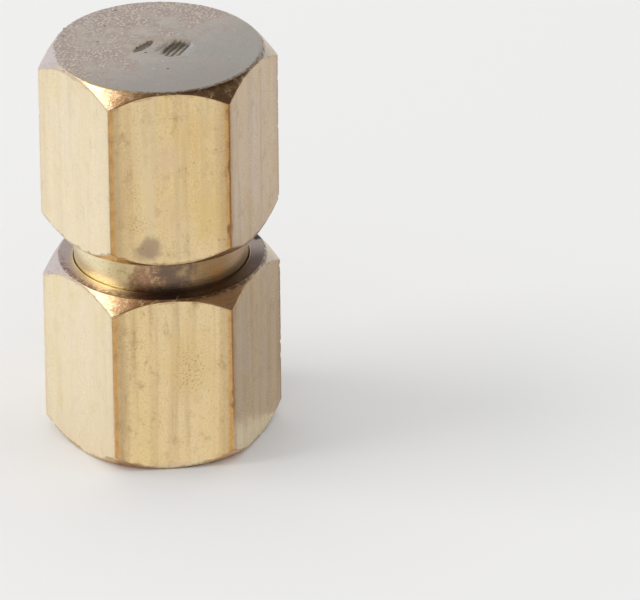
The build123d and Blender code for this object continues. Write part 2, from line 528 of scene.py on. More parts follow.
# Colours of the turned and faced surfaces
TURNED_LIGHT, TURNED_DARK = (0.93, 0.75, 0.47), (0.84, 0.62, 0.36)
THREAD_LIGHT, THREAD_DARK = (0.93, 0.75, 0.45), (0.80, 0.60, 0.34)
# painted gold highlight for the left of the neck
NECK_HIGHLIGHT_GOLD = (1.0, 0.89, 0.58)
# painted brown and grey shade for the front and right of the neck
NECK_SHADE_BROWN, NECK_SHADE_GREY = (0.43, 0.25, 0.165), (0.205, 0.16, 0.15)
# painted shade at the foot of the neck
NECK_FOOT_SHADE = (0.22, 0.15, 0.10)
# painted orange glow on the neck
PAINTED_ORANGE_GLOW = (1.0, 0.58, 0.24)
# painted grey reflection and painted brown shade on the hexagons' end faces at the gap
RING_REFLECTION_GREY, RING_SHADE_BROWN = (0.66, 0.55, 0.50), (0.14, 0.095, 0.065)
# the second is a painted gold highlight near the neck
RING_SPECK, RING_HIGHLIGHT_GOLD = (0.27, 0.165, 0.125), (1.0, 0.80, 0.40)
# painted highlight round the nut's mouth
MOUTH_HIGHLIGHT = (1.0, 0.88, 0.66)
# brown to orange on the front of the cones: patchy tarnish and painted shade
LOW_CONE, HIGH_CONE = (0.96, 0.61, 0.32), (0.36, 0.22, 0.12)
# the first is more of that brown, the second a painted pale reflection on the sides of the cones
LEFT_CONE, SIDE_CONE_REFLECTION = (0.62, 0.36, 0.17), (0.85, 0.75, 0.62)
# painted shade along the cones' inner rim, in patches
RIM_SHADE_BROWN = (0.20, 0.13, 0.07)
FACE_GREY, FACE_PALE, FACE_FRONT = (0.68, 0.63, 0.49), (1.0, 0.86, 0.63), (0.48, 0.43, 0.33)
FACE_ARC, FACE_PATCH, FACE_DULL = (0.62, 0.50, 0.38), (0.66, 0.50, 0.40), (0.70, 0.56, 0.42)
# painted highlight and painted shade along the front of the closed end's rim
FACE_RIM_HIGHLIGHT, FACE_RIM_SHADE = (0.80, 0.62, 0.22), (0.32, 0.19, 0.09)
FLECK, DOT = (1.0, 0.84, 0.62), (1.0, 0.95, 0.85)
# dirt and painted shade in the torn mark's hollows
TORN_DIRT_AND_SHADE = (0.13, 0.105, 0.06)

# Marks on the front flats: place along X, height, half width, half height, colour and strength
FLAT_MARKS = [
    (-1.45, 20.0, 0.6, 7.5, PALE_BRASS, 0.9),
    (-2.6, 22.0, 0.75, 8.0, TARNISH, 0.08),
    (-3.4, 22.0, 0.5, 9.0, TARNISH, 0.13),
    (-3.3, 6.0, 0.5, 8.0, TARNISH, 0.25),
    (-0.2, 23.4, 1.1, 1.7, PINK_BRASS, 0.7),
    (0.3, 19.0, 1.3, 2.4, PINK_BRASS, 0.4),
    (1.6, 25.2, 1.6, 1.9, GOLD_BRASS, 0.5),
    (1.8, 22.0, 1.5, 3.6, GOLD_BRASS, 0.45),
    (2.8, 19.0, 1.6, 2.6, GOLD_BRASS, 0.7),
    (1.0, 8.0, 2.0, 3.4, GOLD_BRASS, 0.5),
    (-1.45, 16.8, 0.95, 1.0, GREY_STAIN, 0.75),
    (-1.9, 16.5, 0.8, 0.8, GREY_STAIN, 0.3),
]
# Patches of fine dark specks on the front flats: place along X, height, half width, half height
SPECK_PATCHES = [
    (-2.1, 18.6, 1.1, 0.8),
    (-2.7, 21.4, 0.5, 0.9),
    (0.3, 26.4, 1.3, 0.25),
    (-2.6, 9.6, 1.0, 0.6),
    (1.2, 7.4, 1.5, 2.4),
]
NECK_GLOW = (3.3, -4.83, 13.6)  # middle of a painted orange glow on the neck
NOTCH_SHADOW_SPOT = (6.62, 1.3, HEX_LENGTH)  # of a painted black shadow in a notch, on the nut's upper end face


def tint_front_flats(s, colour, edge_noise):
    """Stains and fine specks on the front flats."""
    for x, z, half_width, half_height, tint, strength in FLAT_MARKS:
        is_stain = tint == GREY_STAIN
        swing = 0.13 if is_stain else 0.3
        ragged = s.ramp(edge_noise, 0.3, 0.7, -swing, swing)
        gap = s.plus(s.front_gap(x, z, half_width, half_height), ragged)
        colour = s.mix(s.ramp(gap, 0.55 if is_stain else 0.3, 1.15, strength, 0.0), colour, tint)
    specks = s.ramp(s.noise(s.stretched(5.0, 5.0, 9.0), 2.0), 0.5, 0.66)
    for x, z, half_width, half_height in SPECK_PATCHES:
        share = s.ramp(s.front_gap(x, z, half_width, half_height), 0.3, 1.2, 0.5, 0.0)
        colour = s.mix(s.times(share, specks), colour, TARNISH)
    return colour


def tint_edges(s, colour, wear):
    """Worn brown edges along the bar, and painted brown shade in the creases where its flats meet the cones.
    """
    ragged = s.ramp(s.noise(s.place, 4.0, 0.6, 2.3), 0.3, 0.7, -0.06, 0.06)
    edge_gap = s.plus(s.value("edge_gap"), ragged)
    colour = s.mix(s.times(s.ramp(edge_gap, 0.1, 1.0, 0.42, 0.0), wear), colour, TARNISH)
    edge_patches = s.noise(s.stretched(2.0, 2.0, 1.3), 4.0, 0.65)
    edge_colour = s.mix(s.ramp(edge_patches, 0.35, 0.75), WORN_EDGE, BROWN_EDGE)
    colour = s.mix(s.times(s.ramp(edge_gap, 0.06, 0.3, 0.88, 0.0), wear), colour, edge_colour)
    # painted shade along the creases
    crease_noise = s.ramp(s.noise(s.place, 4.0, 0.65, 1.5), 0.3, 0.7, -0.1, 0.14)
    crease_gap = s.plus(s.value("crease_gap"), crease_noise)
    return s.mix(s.ramp(crease_gap, 0.02, 0.16, 0.55, 0.0), colour, CREASE_SHADE_BROWN)


def drawn_brass():
    """Flats of the bar: fine lines along it, faint stains, pits, and darker worn edges."""
    s = Shader("drawn_brass")
    broad = s.noise(s.stretched(0.55, 0.55, 0.05, 3.0), 2.0)
    lines = s.noise(s.stretched(2.2, 2.2, 0.09), 4.0, 0.6)
    bands = s.noise(s.stretched(1.05, 1.05, 0.045, 40.0), 1.0, 0.5)
    fine_lines = s.noise(s.stretched(9.0, 9.0, 0.5), 2.0, 0.5)
    blotch = s.noise(s.stretched(0.5, 0.5, 0.3, 11.0), 4.0, 0.6)
    mottle = s.noise(s.stretched(1.3, 1.3, 0.7, 21.0), 5.0, 0.7)
    grain = s.noise(s.place, 3.0, 0.65, 6.0)
    edge_noise = s.noise(s.place, 4.0, 0.6, 1.7)
    wear = s.value("edge_wear")
    aged = s.math("ADD", 0.05, s.times(wear, 1.5), clamp=True)

    colour = s.mix(s.ramp(broad, 0.35, 0.68), BRASS, PALE_BRASS)
    colour = s.mix(s.ramp(wear, 0.16, 0.28, 0.75, 0.0), colour, CLEAN_BRASS)
    colour = s.mix(s.ramp(blotch, 0.5, 0.72, 0.0, 0.5), colour, GOLD_BRASS)
    colour = s.mix(s.ramp(blotch, 0.5, 0.28, 0.0, 0.35), colour, PINK_BRASS)
    streaks = ((bands, 0.5, 0.62, 0.16), (lines, 0.5, 0.75, 0.24))
    spots = ((mottle, 0.52, 0.74, 0.5), (grain, 0.5, 0.8, 0.5))
    for pattern, low, high, strength in streaks + spots:
        colour = s.mix(s.times(s.ramp(pattern, low, high, 0.0, strength), aged), colour, TARNISH)
    colour = tint_front_flats(s, colour, edge_noise)
    colour = tint_edges(s, colour, wear)

    wave = s.ramp(edge_noise, 0.2, 0.8, -0.12, 0.12)
    wavy = vector_math(s.tree, "ADD", s.stretched(1.0, 1.0, 0.75), s.vector(wave, wave, wave))
    pit_size = s.ramp(s.noise(s.stretched(0.9, 0.9, 0.9, 30.0), 2.0), 0.48, 0.72, 0.02, 0.14)
    pit = s.ramp(s.math("DIVIDE", s.cells(wavy, 2.1), pit_size), 0.5, 1.2, 1.0, 0.0)
    colour = s.mix(s.times(pit, 0.6, aged), colour, PIT_BROWN)
    sparkle_size = s.ramp(mottle, 0.45, 0.7, 0.01, 0.1)
    sparkle_gap = s.math("DIVIDE", s.cells(s.stretched(1.0, 1.0, 0.8, 4.0), 1.3), sparkle_size)
    sparkle = s.ramp(sparkle_gap, 0.6, 1.1, 1.0, 0.0)
    roughness = s.plus(s.ramp(lines, 0.35, 0.7, 0.28, 0.38), s.ramp(grain, 0.4, 0.8, -0.02, 0.1))
    scratches = s.weighted((fine_lines, 0.0018), (lines, 0.006))
    bumps = s.weighted((mottle, 0.007), (grain, 0.0035), (pit, -0.01), (sparkle, 0.02))
    return s.finish(colour, roughness, s.plus(scratches, bumps))


def tint_neck(s, colour, in_neck, across, shade_side, fine_patches):
    """Painted gold highlight on the left of the neck, and patchy painted brown and grey shade across its
    front and right.
    """
    colour = s.mix(s.times(s.ramp(across, -1.6, -2.8), in_neck), colour, NECK_HIGHLIGHT_GOLD)
    tint = s.mix(s.ramp(across, -1.5, -0.3), NECK_SHADE_BROWN, NECK_SHADE_GREY)
    thickness = s.plus(fine_patches, s.ramp(across, -1.0, 0.3, 0.0, 0.2))
    patchy = s.ramp(thickness, 0.34, 0.54, 0.5, 1.0)
    brown = s.times(shade_side, s.ramp(across, 0.4, 2.2, 0.97, 0.08), patchy)
    return s.mix(s.times(brown, in_neck), colour, tint)


def tint_ring(s, colour, on_ring, across, radius, fine_patches):
    """The hexagons' end faces at the gap: a painted grey reflection, painted brown shade at the front and
    right, specks, and a painted gold highlight on the left.
    """
    # painted grey reflection
    colour = s.mix(s.times(on_ring, 0.6), colour, RING_REFLECTION_GREY)
    # painted brown shade at the front and right
    brown = s.times(s.ramp(across, -4.4, -1.2, 0.0, 0.92), s.ramp(s.y, -2.0, 0.5, 1.0, 0.2))
    colour = s.mix(s.times(brown, on_ring), colour, RING_SHADE_BROWN)
    left = s.times(s.ramp(s.x, -1.0, -2.4), on_ring, s.ramp(s.y, 1.5, -1.5))
    specks = s.times(s.ramp(radius, 6.3, 6.75), s.ramp(fine_patches, 0.42, 0.56))
    colour = s.mix(s.times(specks, left, 0.8), colour, RING_SPECK)
    # painted gold highlight on the left, near the neck
    gold = s.times(s.ramp(radius, 6.3, 6.05), s.ramp(fine_patches, 0.35, 0.5, 0.5, 1.0))
    return s.mix(s.times(gold, left, 0.9), colour, RING_HIGHLIGHT_GOLD)


def tint_cones(s, colour, cone, across, cone_patches):
    """Brown to orange on the front of the turned-off corners, partly patchy tarnish and partly painted shade,
    and a painted pale reflection towards the sides.
    """
    # painted pale reflection towards the sides
    side = s.times(s.ramp(s.math("ABSOLUTE", s.x), 5.0, 6.4, 0.0, 0.75), cone)
    colour = s.mix(side, colour, SIDE_CONE_REFLECTION)
    # patchy tarnish and painted shade, most at the front
    tint = s.mix(s.ramp(s.z, 13.5, 27.0), LOW_CONE, HIGH_CONE)
    tint = s.mix(s.ramp(across, 0.5, 2.5), LEFT_CONE, tint)
    thickness = s.plus(cone_patches, s.ramp(s.x, -4.5, -3.3, -0.13, 0.09))
    front_share = s.times(s.ramp(s.x, 4.6, 6.0, 1.0, 0.15), s.ramp(s.y, -3.5, 0.5, 1.0, 0.3))
    brown = s.times(s.ramp(thickness, 0.42, 0.58, 0.0, 0.9), front_share)
    return s.mix(s.times(brown, cone), colour, tint)


def turned_brass():
    """Cones, neck and end faces: rings from the tool, painted highlight and painted brown shade on the neck,
    and patchy tarnish with painted shade on the cones.
    """
    s = Shader("turned_brass")
    rings = s.noise(s.ring_place(9.0), 3.0, 0.6)
    fine_rings = s.noise(s.ring_place(34.0, 0.25), 2.0, 0.6)
    patches = s.noise(s.stretched(0.9, 0.9, 0.9, 7.0), 4.0, 0.65)
    fine_patches = s.noise(s.stretched(3.4, 3.4, 3.4, 27.0), 4.0, 0.7)
    cone_patches = s.noise(s.stretched(2.1, 2.1, 2.1, 17.0), 5.0, 0.7)
    grain = s.noise(s.place, 3.0, 0.7, 7.0)

    radius = s.radius()
    cone = s.ramp(radius, FACE_R - 0.04, FACE_R + 0.06)
    upper = s.math("GREATER_THAN", s.z, HEX_LENGTH / 2)
    in_neck = s.times(s.ramp(radius, NECK_R + 0.01, NECK_R + 0.04, 1.0, 0.0), upper)
    off_neck = s.math("SUBTRACT", 1.0, in_neck)
    on_ring = s.math("MULTIPLY", s.math("SUBTRACT", upper, cone), off_neck, clamp=True)
    waver = s.ramp(patches, 0.3, 0.7, -0.6, 0.6)
    across = s.plus(s.x, waver)
    front = s.plus(s.times(s.y, -1.0), waver)
    # front and right of the neck, where its painted shade goes
    shade_side = s.times(s.ramp(across, -3.3, -1.9), s.ramp(front, -4.0, 1.0))

    colour = s.mix(s.ramp(rings, 0.35, 0.65), TURNED_LIGHT, TURNED_DARK)
    colour = tint_neck(s, colour, in_neck, across, shade_side, fine_patches)
    colour = tint_ring(s, colour, on_ring, across, radius, fine_patches)
    colour = tint_cones(s, colour, cone, across, cone_patches)
    colour = s.mix(s.ramp(grain, 0.54, 0.74, 0.0, 0.6), colour, TARNISH)
    # painted shade at the foot of the neck, on its front and right
    foot = s.times(s.ramp(s.z, HEX_LENGTH + 0.02, HEX_LENGTH + 0.35, 0.8, 0.0), in_neck)
    colour = s.mix(s.times(foot, shade_side), colour, NECK_FOOT_SHADE)
    # patchy painted shade along the right of the cones' inner rim
    rim = s.times(s.ramp(radius, FACE_R + 0.3, FACE_R + 0.06), cone, s.ramp(s.x, -2.4, 0.5))
    colour = s.mix(s.times(rim, s.ramp(cone_patches, 0.4, 0.52, 0.2, 0.9)), colour, RIM_SHADE_BROWN)
    # painted highlight in a thin ring at the radius of the nut's mouth
    mouth_gap = s.math("ABSOLUTE", s.math("SUBTRACT", radius, LIP_R + MOUTH_CHAMFER / 2))
    mouth = s.math("LESS_THAN", mouth_gap, MOUTH_CHAMFER)
    colour = s.mix(s.times(mouth, upper, 0.8), colour, MOUTH_HIGHLIGHT)
    # painted orange glow on the front right of the neck
    glow = s.times(s.ramp(s.gap_from(NECK_GLOW, 1.0), 0.1, 1.0, 0.6, 0.0), in_neck)
    colour = s.mix(glow, colour, PAINTED_ORANGE_GLOW)
    # painted black shadow in the notch on the right of the nut's upper end face
    notch_shadow = s.plus(s.gap_from(NOTCH_SHADOW_SPOT, 0.42), s.ramp(fine_patches, 0.3, 0.7, -0.45, 0.45))
    colour = s.mix(s.ramp(notch_shadow, 0.6, 1.0, 0.95, 0.0), colour, NOTCH_SHADOW_BLACK)

    roughness = s.plus(s.ramp(fine_rings, 0.3, 0.7, 0.25, 0.38), s.ramp(grain, 0.4, 0.8, 0.0, 0.1))
    tool_marks = s.weighted((rings, 0.006), (fine_rings, 0.0022))
    bumps = s.weighted((patches, 0.015), (s.times(cone_patches, cone), 0.03), (grain, 0.006))
    return s.finish(colour, roughness, s.plus(tool_marks, bumps))


def faced_brass():
    """Closed end: finely faced and greyed, speckled on one side, with dirt and painted shade in the torn
    mark.
    """
    s = Shader("faced_brass")
    rings = s.noise(s.ring_place(14.0, 0.1), 4.0, 0.65)
    arcs = s.noise(s.ring_place(3.6, 0.5), 3.0, 0.6)
    patches = s.noise(s.stretched(0.33, 0.33, 0.33, 2.0), 4.0, 0.6)
    clusters = s.noise(s.stretched(0.8, 0.8, 0.8, 5.0), 3.0, 0.6)
    grain = s.noise(s.place, 3.0, 0.7, 8.0)
    torn = s.value("torn")

    # side grows from the front right to the back left
    side = s.math("SUBTRACT", s.times(s.y, 0.8), s.times(s.x, 0.75))
    side = s.plus(side, s.ramp(patches, 0.3, 0.7, -2.0, 2.0))
    colour = s.mix(s.ramp(side, -6.0, 5.0), FACE_GREY, FACE_PALE)
    colour = s.mix(s.ramp(s.y, -1.5, -6.0, 0.0, 0.3), colour, FACE_FRONT)
    colour = s.mix(s.ramp(arcs, 0.4, 0.7, 0.0, 0.2), colour, FACE_ARC)
    colour = s.mix(s.ramp(patches, 0.42, 0.7, 0.0, 0.3), colour, FACE_PATCH)

    off_line = s.math("ABSOLUTE", s.math("SUBTRACT", s.x, 3.4))
    back_right = s.ramp(s.math("SUBTRACT", s.y, off_line), 2.0, 5.5, 0.0, 4.5)
    spread = s.plus(side, back_right, s.ramp(clusters, 0.3, 0.7, -3.0, 3.0))
    speckled = s.ramp(spread, -1.0, 4.5)
    colour = s.mix(s.times(speckled, 0.85), colour, FACE_DULL)
    fleck_chance = s.plus(s.cells(s.place, 4.4, "Color", "2D"), s.math("SUBTRACT", speckled, 1.0))
    fleck_size = s.ramp(fleck_chance, 0.0, 0.7, 0.0, 0.52)
    fleck_gap = s.math("SUBTRACT", s.cells(s.place, 4.4, "Distance", "2D"), fleck_size)
    fleck = s.ramp(fleck_gap, 0.05, -0.12)
    colour = s.mix(fleck, colour, FLECK)
    colour = s.mix(s.ramp(grain, 0.5, 0.75, 0.0, 0.4), colour, TARNISH)
    # dirt and painted shade in the torn mark
    colour = s.mix(s.times(torn, 0.88), colour, TORN_DIRT_AND_SHADE)

    # painted highlight on the left of the rim's front, painted shade on the rest of its front
    rim_noise = s.ramp(s.noise(s.stretched(2.4, 2.4, 2.4, 9.0), 4.0, 0.65), 0.38, 0.58, 0.1, 0.9)
    rim = s.times(s.ramp(s.radius(), FACE_R - 0.22, FACE_R - 0.04), rim_noise, s.ramp(s.y, -0.5, -3.0))
    colour = s.mix(rim, colour, s.mix(s.ramp(s.x, -4.0, -1.0), FACE_RIM_HIGHLIGHT, FACE_RIM_SHADE))
    pit_gap = s.cells(s.stretched(1.0, 1.0, 1.0, 9.5), 0.4, "Distance", "2D")
    pit = s.times(s.ramp(pit_gap, 0.025, 0.05, 0.8, 0.0), s.ramp(clusters, 0.5, 0.42))
    colour = s.mix(pit, colour, PIT_BROWN)
    dot_gap = s.cells(s.stretched(1.0, 1.0, 1.0, 4.0), 0.62, "Distance", "2D")
    dot = s.times(s.ramp(dot_gap, 0.03, 0.065, 1.0, 0.0), s.ramp(clusters, 0.5, 0.58))
    colour = s.mix(dot, colour, DOT)

    roughness = s.plus(s.ramp(rings, 0.3, 0.7, 0.28, 0.38), s.times(torn, 0.2))
    height = s.weighted((rings, 0.003), (arcs, 0.004), (fleck, 0.02), (grain, 0.004), (dot, 0.02))
    return s.finish(colour, roughness, height)


def thread_brass():
    """Cut thread, seat and bores: bright and even."""
    s = Shader("thread_brass")
    rings = s.noise(s.ring_place(16.0), 3.0, 0.6)
    patches = s.noise(s.stretched(0.4, 0.4, 0.4, 1.0), 3.0, 0.6)
    colour = s.mix(s.ramp(patches, 0.4, 0.7), THREAD_LIGHT, THREAD_DARK)
    colour = s.mix(s.ramp(rings, 0.55, 0.8, 0.0, 0.35), colour, TARNISH)
    roughness = s.ramp(rings, 0.3, 0.7, 0.22, 0.34)
    return s.finish(colour, roughness, s.times(rings, 0.004))


materials = [drawn_brass(), turned_brass(), faced_brass(), thread_brass()]


# ---------------------------------------------------------------- pieces
BURR_FREE_HEIGHT = 1.0  # the nut's lower rim, on which it stands, has no burr below this


def finish_skin(skin, name, body, seed, torn_end=False):
    """Adds the relief to a skin and makes the piece that rides on a body."""
    points, gaps, wear, zones = skin.gathered()
    radius = np.hypot(points[:, 0], points[:, 1])
    outward = np.where(radius[:, None] > 1e-6, points[:, :2] / np.maximum(radius, 1e-6)[:, None], 0)
    drawn = zones == DRAWN
    turned = zones == TURNED
    out = np.zeros(len(points))
    out[drawn] = drawn_relief(points[drawn], seed) + edge_dents(points[drawn], gaps[drawn], seed)
    out[turned] = turned_relief(points[turned], seed)
    up = rim_burr(points, seed) * np.where(points[:, 2] > HEX_LENGTH / 2, 1, -1) * (zones != THREAD)
    if torn_end:
        sink, torn = parting_mark(points)
        up = up + sink
        middle = HEX_LOW + HEX_LENGTH / 2
    else:
        up = up * (points[:, 2] > BURR_FREE_HEIGHT)
        torn = np.zeros(len(points))
        middle = HEX_LENGTH / 2
    to_crease = HEX_LENGTH / 2 - cone_drop(radius) - np.abs(points[:, 2] - middle)
    to_crease[~drawn] = 1.0
    points[:, :2] += outward * out[:, None]
    points[:, 2] += up
    values = {"edge_gap": gaps, "edge_wear": wear, "crease_gap": to_crease, "torn": torn}
    piece = skin.build(name, points, values, materials)
    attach(piece, body)
    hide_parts(name.removeprefix("visible_"))


def hexagon_corners(radii, low, high):
    """The outline of a hexagon bar from its top face's rim to its bottom face's rim."""
    drop = cone_drop(radii)
    return [
        (FACE_R, high, RIM_ROUND),
        (radii, high - drop, CREASE_ROUND),
        (radii, low + drop, CREASE_ROUND),
        (FACE_R, low, RIM_ROUND),
    ]


HEXAGON_RUNS = [(5, TURNED), (56, DRAWN), (5, TURNED)]
inner_angles = np.linspace(0, 2 * math.pi, INNER_COLUMNS, endpoint=False)


def thread_grid(skin, low, high, root, crest, start, lead_r=math.inf):
    """A helical ridge in a bore or on a stem. lead_r is its radius at the start of a tapered low end."""
    levels = np.linspace(high, low, round((high - low) / PITCH * ROWS_PER_PITCH) + 1)
    ridges = [thread_radius(inner_angles, level, root, crest, start) for level in levels]
    rows = [np.minimum(ridge, lead_r + level - low) for ridge, level in zip(ridges, levels)]
    return skin.grid(inner_angles, rows, levels, [THREAD] * len(levels))


def inner_grid(skin, corners, steps):
    """A plain turned surface inside the fitting, with so many steps from each corner to the next."""
    return skin.grid(inner_angles, *meridian(corners, [(count, THREAD) for count in steps]))


def make_body():
    skin = Skin()
    angles, radii, gaps, wear = hexagon_columns()
    centre_r = 0.03
    mark_r = 2.9
    corners = [(centre_r, BODY_TOP, 0), (mark_r, BODY_TOP, 0), *hexagon_corners(radii, HEX_LOW, BODY_TOP)]
    corners += [(NECK_R, HEX_LOW, 0.08), (NECK_R, NECK_LOW, 0.06), (GROOVE_R + 0.3, NECK_LOW, 0)]
    runs = [(58, FACED), (20, FACED), *HEXAGON_RUNS, (5, TURNED), (26, TURNED), (1, TURNED)]
    first, neck_end = skin.grid(angles, *meridian(corners, runs), gaps, wear)
    skin.close(first, BODY_TOP, FACED)

    groove = [(GROOVE_R + 0.05, NECK_LOW, 0), (GROOVE_R, NECK_LOW - 0.1, 0.05), (GROOVE_R, GROOVE_LOW, 0)]
    groove_top, groove_end = inner_grid(skin, groove, (1, 4))
    skin.zip_rings(neck_end, angles, groove_top, inner_angles, THREAD)
    ridge = (MALE_ROOT_R, MALE_CREST_R, MALE_START, LEAD_R)
    thread_top, thread_end = thread_grid(skin, STEM_LOW, GROOVE_LOW, *ridge)
    skin.join(groove_end, thread_top, THREAD)
    tip = SOCKET_TOP + (BORE_R - CHISEL_R) / DRILL_SLOPE
    socket = [(SEAT_MOUTH_R, STEM_LOW, 0), (BORE_R, SEAT_TOP, 0.04)]
    socket += [(BORE_R, SOCKET_TOP, 0.04), (CHISEL_R, tip, 0)]
    seat_mouth, socket_end = inner_grid(skin, socket, (6, 20, 10))
    skin.join(thread_end, seat_mouth, THREAD)
    skin.close(socket_end, tip, THREAD)
    finish_skin(skin, "visible_stop_end_body", "stop_end", seed=0.0, torn_end=True)


def make_nut():
    skin = Skin()
    angles, radii, gaps, wear = hexagon_columns()
    corners = [(FEMALE_ROOT_R, FEMALE_HIGH + 0.6, 0), (FEMALE_ROOT_R, HEX_LENGTH - 2 * LIP_HEIGHT, 0.02)]
    corners += [(LIP_R, HEX_LENGTH - LIP_HEIGHT, 0.02), (LIP_R, HEX_LENGTH - MOUTH_CHAMFER, 0.02)]
    corners += [(LIP_R + MOUTH_CHAMFER, HEX_LENGTH, 0.02), *hexagon_corners(radii, 0, HEX_LENGTH)]
    corners += [(BORE_R + TUBE_CHAMFER, 0, 0)]
    runs = [(12, TURNED), (2, TURNED), (1, TURNED), (2, TURNED), (6, TURNED), *HEXAGON_RUNS, (14, TURNED)]
    mouth, foot = skin.grid(angles, *meridian(corners, runs), gaps, wear)

    counterbore = [(FEMALE_ROOT_R, FEMALE_HIGH + 0.55, 0), (FEMALE_ROOT_R, FEMALE_HIGH, 0)]
    counterbore_top, counterbore_end = inner_grid(skin, counterbore, (2,))
    skin.zip_rings(mouth, angles, counterbore_top, inner_angles, THREAD)
    ridge = (FEMALE_ROOT_R - 0.001, FEMALE_CREST_R, FEMALE_START)
    thread_top, thread_end = thread_grid(skin, FEMALE_LOW, FEMALE_HIGH, *ridge)
    skin.join(counterbore_end, thread_top, THREAD)
    inside = [(FEMALE_ROOT_R, FEMALE_LOW - 0.02, 0), (FEMALE_ROOT_R, RELIEF_LOW, 0.04)]
    inside += [(SHOULDER_R, RELIEF_LOW, 0.04), (SHOULDER_R, NUT_FLOOR + SHOULDER_R - BORE_R, 0.04)]
    inside += [(BORE_R, NUT_FLOOR, 0.04), (BORE_R, TUBE_CHAMFER, 0)]
    relief_top, bore_end = inner_grid(skin, inside, (3, 3, 3, 5, 8))
    skin.join(thread_end, relief_top, THREAD)
    skin.zip_rings(foot, angles, bore_end, inner_angles, TURNED)
    finish_skin(skin, "visible_compression_nut", "nut", seed=40.0)


def make_olive():
    skin = Skin()
    low, high = olive_low[2], olive_high[2]
    taper = (high - low - OLIVE_LAND) / 2
    seam = low + 0.5  # the outline starts here on the bore and ends just above
    corners = [(BORE_R, seam, 0), (BORE_R, low, 0.04), (OLIVE_END_R, low, 0.04)]
    corners += [(OLIVE_LAND_R, low + taper, 0.12), (OLIVE_LAND_R, high - taper, 0.12)]
    corners += [(OLIVE_END_R, high, 0.04), (BORE_R, high, 0.04), (BORE_R, seam + 0.05, 0)]
    first, last = inner_grid(skin, corners, (2, 1, 6, 6, 6, 1, 12))
    skin.join(last, first, THREAD)
    finish_skin(skin, "visible_olive", "olive", seed=80.0)


# Curled chips: angle about the axis, length, lean along the rim, rise and lean outwards
NUT_SLIVERS = [
    (-107, 0.62, 0.5, 0.85, 0.3),
    (-105.5, 0.45, -0.4, 0.9, 0.3),
    (-102, 0.62, 0.8, 0.6, 0.1),
    (-96, 0.35, -0.8, 0.6, 0.2),
    (-89, 0.45, 0.7, 0.7, -0.4),
    (-124, 0.26, -0.6, 0.5, 0.3),
    (-133, 0.26, -0.6, 0.7, 0.1),
    (-152, 0.28, 0.5, 0.8, 0.1),
]
BODY_SLIVERS = [
    (-97, 0.32, 0.6, 0.5, 0.2),
    (-95, 0.26, -0.5, 0.7, 0.2),
    (-68, 0.42, 0.1, 0.9, 0.3),
    (-120, 0.3, 0.4, 0.6, 0.3),
    (-157, 0.3, -0.5, 0.6, 0.3),
    (-160, 0.24, 0.4, 0.7, 0.3),
]
SLIVER_R = 0.042  # at the root
SLIVER_CORNERS = 4
SLIVER_STATIONS = 6


def make_slivers(name, body, level, slivers):
    """Chips that still hang on the upper edges of the flats of the hexagon whose top is at that level."""
    points, faces = [], []
    for angle, length, lean, rise, outward in slivers:
        out = Vector((math.cos(math.radians(angle)), math.sin(math.radians(angle)), 0))
        along = Vector((-out.y, out.x, 0))
        root_r = HALF_FLATS / math.cos(math.radians(angle % 60 - 30))
        root = out * (root_r - SLIVER_R) + Vector((0, 0, level - cone_drop(root_r)))
        first = len(points)
        for share in np.linspace(0, 1, SLIVER_STATIONS):
            sideways = along * lean * math.sin(1.4 * share)
            middle = root + length * (sideways + out * outward * share**2 + Vector((0, 0, rise * share)))
            for side in np.linspace(0, 2 * math.pi, SLIVER_CORNERS, endpoint=False):
                way = out * math.cos(side) + along * math.sin(side)
                points.append(middle + way * SLIVER_R * (1 - 0.8 * share))
        for row in range(first, len(points) - SLIVER_CORNERS, SLIVER_CORNERS):
            next_row = row + SLIVER_CORNERS
            for corner in range(SLIVER_CORNERS):
                after = (corner + 1) % SLIVER_CORNERS
                faces.append([row + corner, row + after, next_row + after, next_row + corner])
        faces.append(list(reversed(range(first, first + SLIVER_CORNERS))))
        faces.append(list(range(len(points) - SLIVER_CORNERS, len(points))))
    mesh = bpy.data.meshes.new(name)
    mesh.from_pydata([point * MM for point in points], [], faces)
    mesh.shade_smooth()
    mesh.materials.append(materials[THREAD])
    piece = add_object(name, mesh)
    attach(piece, body)


make_body()
make_nut()
make_olive()
make_slivers("visible_nut_slivers", "nut", HEX_LENGTH, NUT_SLIVERS)
make_slivers("visible_body_slivers", "stop_end", BODY_TOP, BODY_SLIVERS)


# ---------------------------------------------------------------- floor, lights and camera
BLACK = (0, 0, 0)
SQUARE = ((-1, -1), (1, -1), (1, 1), (-1, 1))


def plain_material(name, base, glow=BLACK):
    """A matt colour that may also give off light of its own."""
    material = bpy.data.materials.new(name)
    material.use_nodes = True
    surface = material.node_tree.nodes["Principled BSDF"]
    surface.inputs["Base Color"].default_value = (*base, 1.0)
    surface.inputs["Roughness"].default_value = 0.9
    surface.inputs["Specular IOR Level"].default_value = 0.0
    surface.inputs["Emission Color"].default_value = (*glow, 1.0)
    surface.inputs["Emission Strength"].default_value = 1.0
    return material


def make_sheet(name, corners, material):
    mesh = bpy.data.meshes.new(name)
    mesh.from_pydata([tuple(corner) for corner in corners], [], [tuple(range(len(corners)))])
    mesh.materials.append(material)
    sheet = add_object(name, mesh)
    return sheet


def reflection_card(name, corners, colour):
    """A glowing sheet that only shows in reflections. Its corners are in metres."""
    card = make_sheet(name, corners, plain_material(name, BLACK, colour))
    card.visible_camera = False
    card.visible_diffuse = False
    card.visible_shadow = False
    card.visible_transmission = False
    card.visible_volume_scatter = False


def reflection_flag(name, direction, distance, size, colour):
    """A square card that faces the fitting."""
    middle = Vector((0, 0, BODY_TOP * MM / 2)) + Vector(direction).normalized() * distance
    turn = Vector(direction).to_track_quat("Z", "Y").to_matrix()
    corners = [middle + turn @ Vector((x, y, 0)) * size / 2 for x, y in SQUARE]
    reflection_card(name, corners, colour)


